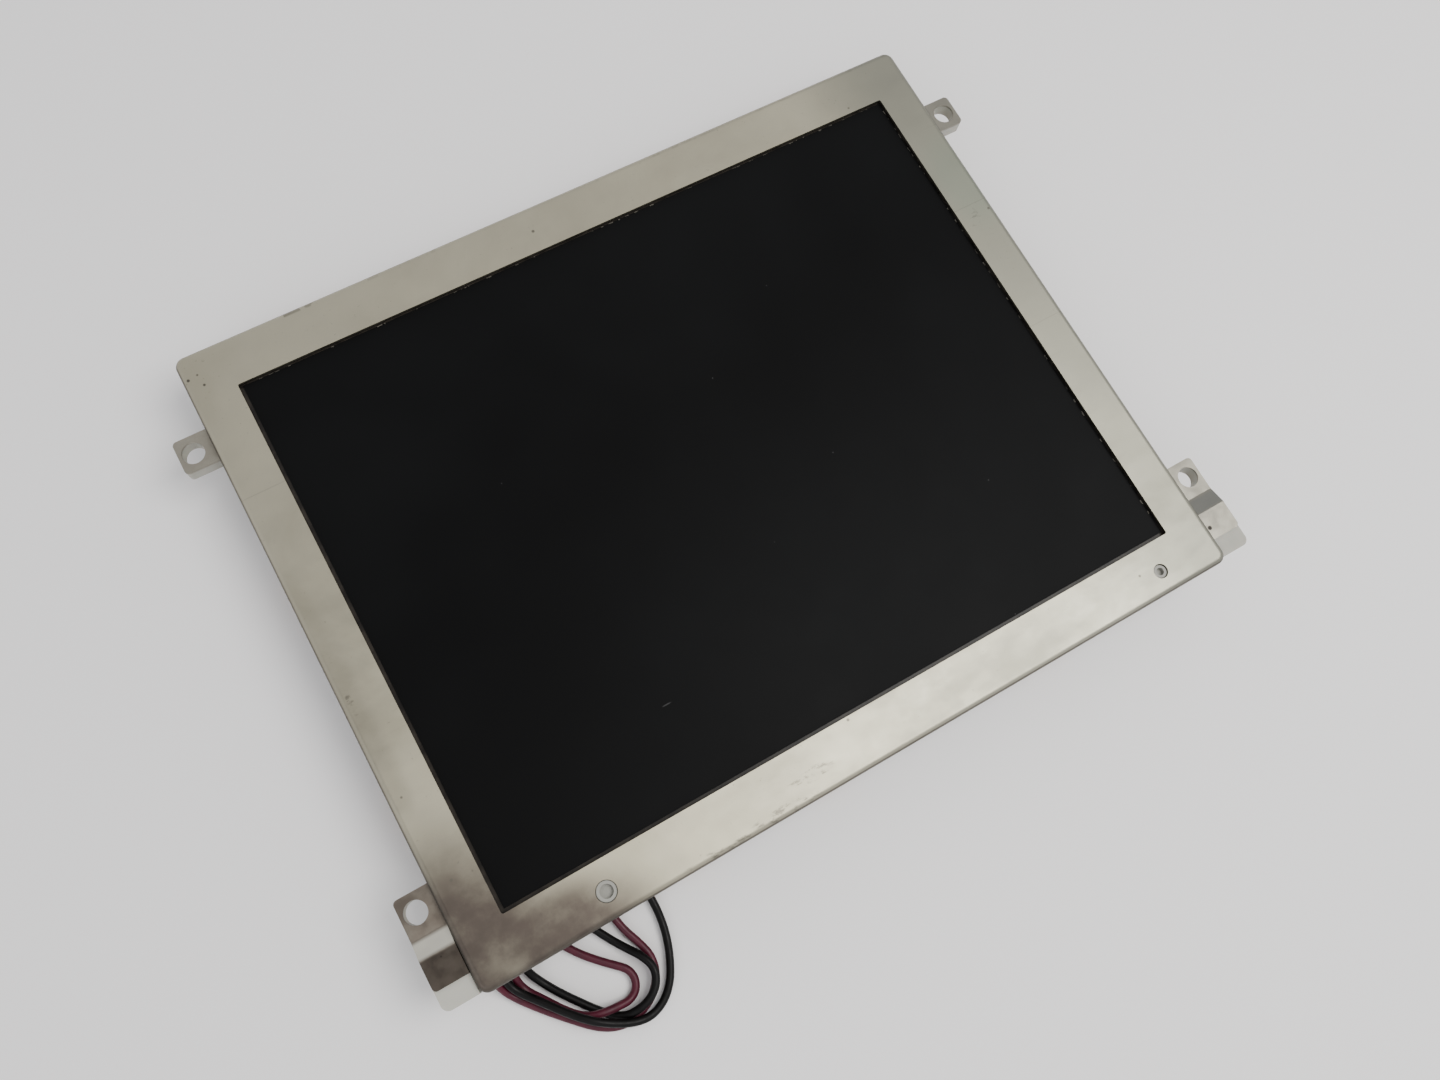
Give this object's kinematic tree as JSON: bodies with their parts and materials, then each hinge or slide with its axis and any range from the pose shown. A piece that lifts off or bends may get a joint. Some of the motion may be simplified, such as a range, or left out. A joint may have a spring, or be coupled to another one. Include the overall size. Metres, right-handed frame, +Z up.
{
  "type": "flat panel display module",
  "caption": "Flat colour display module: metal front bezel round a dark panel, pale plastic backlight tray with screw ears, rear control board and lamp leads with plugs.",
  "frame": {"origin": "centre of the module's footprint at the underside of the shield can, which the module rests on", "axes": "+Z up out of the screen, +X to the right along the long edge, +Y up the picture, away from the lamp leads"},
  "size_m": [0.1434, 0.1218, 0.013],
  "materials": {
    "bezel_sheet": "faintly brushed nickel-plated sheet",
    "rail_sheet": "dull plated sheet",
    "gasket_foam": "matt foam",
    "polarizer": "very dark satin film",
    "panel_glass": "dark glass",
    "frame_plastic": "pale moulded plastic",
    "chassis_plastic": "pale moulded plastic",
    "light_guide": "clear polished plastic",
    "white_film": "white film",
    "lamp_glass": "white coated glass",
    "mirror_sheet": "bright silvered sheet",
    "boot_rubber": "pale silicone rubber",
    "driver_chip": "dark polished die",
    "film_plastic": "amber film",
    "board_resin": "green resin board",
    "can_tin": "tinned sheet",
    "chip_black": "black moulded resin",
    "capacitor_ceramic": "tan ceramic",
    "resistor_black": "black chip",
    "connector_plastic": "cream moulded plastic",
    "trimmer_plastic": "dark moulded plastic",
    "trimmer_metal": "dull plated disc",
    "screw_steel": "zinc-plated steel",
    "tape": "amber tape",
    "plug_plastic": "off-white moulded plastic",
    "contact_tin": "tin-plated strip",
    "pink_sleeve": "dark pink sleeve",
    "black_sleeve": "black sleeve"
  },
  "bodies": {
    "module": {"backlight_chassis": "chassis_plastic", "bezel_gasket": "gasket_foam", "board_capacitors": "capacitor_ceramic", "board_flex": "film_plastic", "board_inductors": "resistor_black", "board_resistors": "resistor_black", "board_screws": "screw_steel", "colour_filter_glass": "panel_glass", "control_board": "board_resin", "ear_rail_left": "rail_sheet", "ear_rail_right": "rail_sheet", "front_bezel": "bezel_sheet", "front_polarizer": "polarizer", "gate_driver_chips": "driver_chip", "gate_flex": "film_plastic", "input_connector": "connector_plastic", "interface_chips": "chip_black", "lamp_boot_lower_left": "boot_rubber", "lamp_boot_lower_right": "boot_rubber", "lamp_boot_upper_left": "boot_rubber", "lamp_boot_upper_right": "boot_rubber", "lamp_reflector_lower": "mirror_sheet", "lamp_reflector_upper": "mirror_sheet", "lamp_tube_lower": "lamp_glass", "lamp_tube_upper": "lamp_glass", "lead_black_1": "black_sleeve", "lead_black_2": "black_sleeve", "lead_connector_1": "plug_plastic", "lead_connector_2": "plug_plastic", "lead_contacts_1": "contact_tin", "lead_contacts_2": "contact_tin", "lead_grommet": "boot_rubber", "lead_pink_1": "pink_sleeve", "lead_pink_2": "pink_sleeve", "light_guide": "light_guide", "lower_diffuser": "white_film", "lower_hot_wire": "pink_sleeve", "lower_return_wire": "black_sleeve", "panel_frame": "frame_plastic", "prism_film": "white_film", "rear_polarizer": "polarizer", "reflector_sheet": "white_film", "shield_can": "can_tin", "source_board": "board_resin", "source_board_capacitors": "capacitor_ceramic", "source_driver_chips": "driver_chip", "source_film_1": "film_plastic", "source_film_2": "film_plastic", "source_film_3": "film_plastic", "source_film_4": "film_plastic", "tape_strips": "tape", "tft_array_glass": "panel_glass", "timing_controller": "chip_black", "trimmer_body": "trimmer_plastic", "upper_diffuser": "white_film", "upper_hot_wire": "pink_sleeve", "upper_return_wire": "black_sleeve"},
    "cable_lock": {"connector_lock": "connector_plastic"},
    "trimmer": {"trimmer_rotor": "trimmer_metal"}
  },
  "joints": [
    {"name": "cable_lock_slide", "type": "slide", "parent": "module", "child": "cable_lock", "axis": [0, -1, 0], "range_m": [0, 0.001]},
    {"name": "trimmer_turn", "type": "hinge", "parent": "module", "child": "trimmer", "pos_m": [0.052, -0.029, 0.0015], "axis": [0, 0, 1], "range_deg": [-135, 135]}
  ]
}
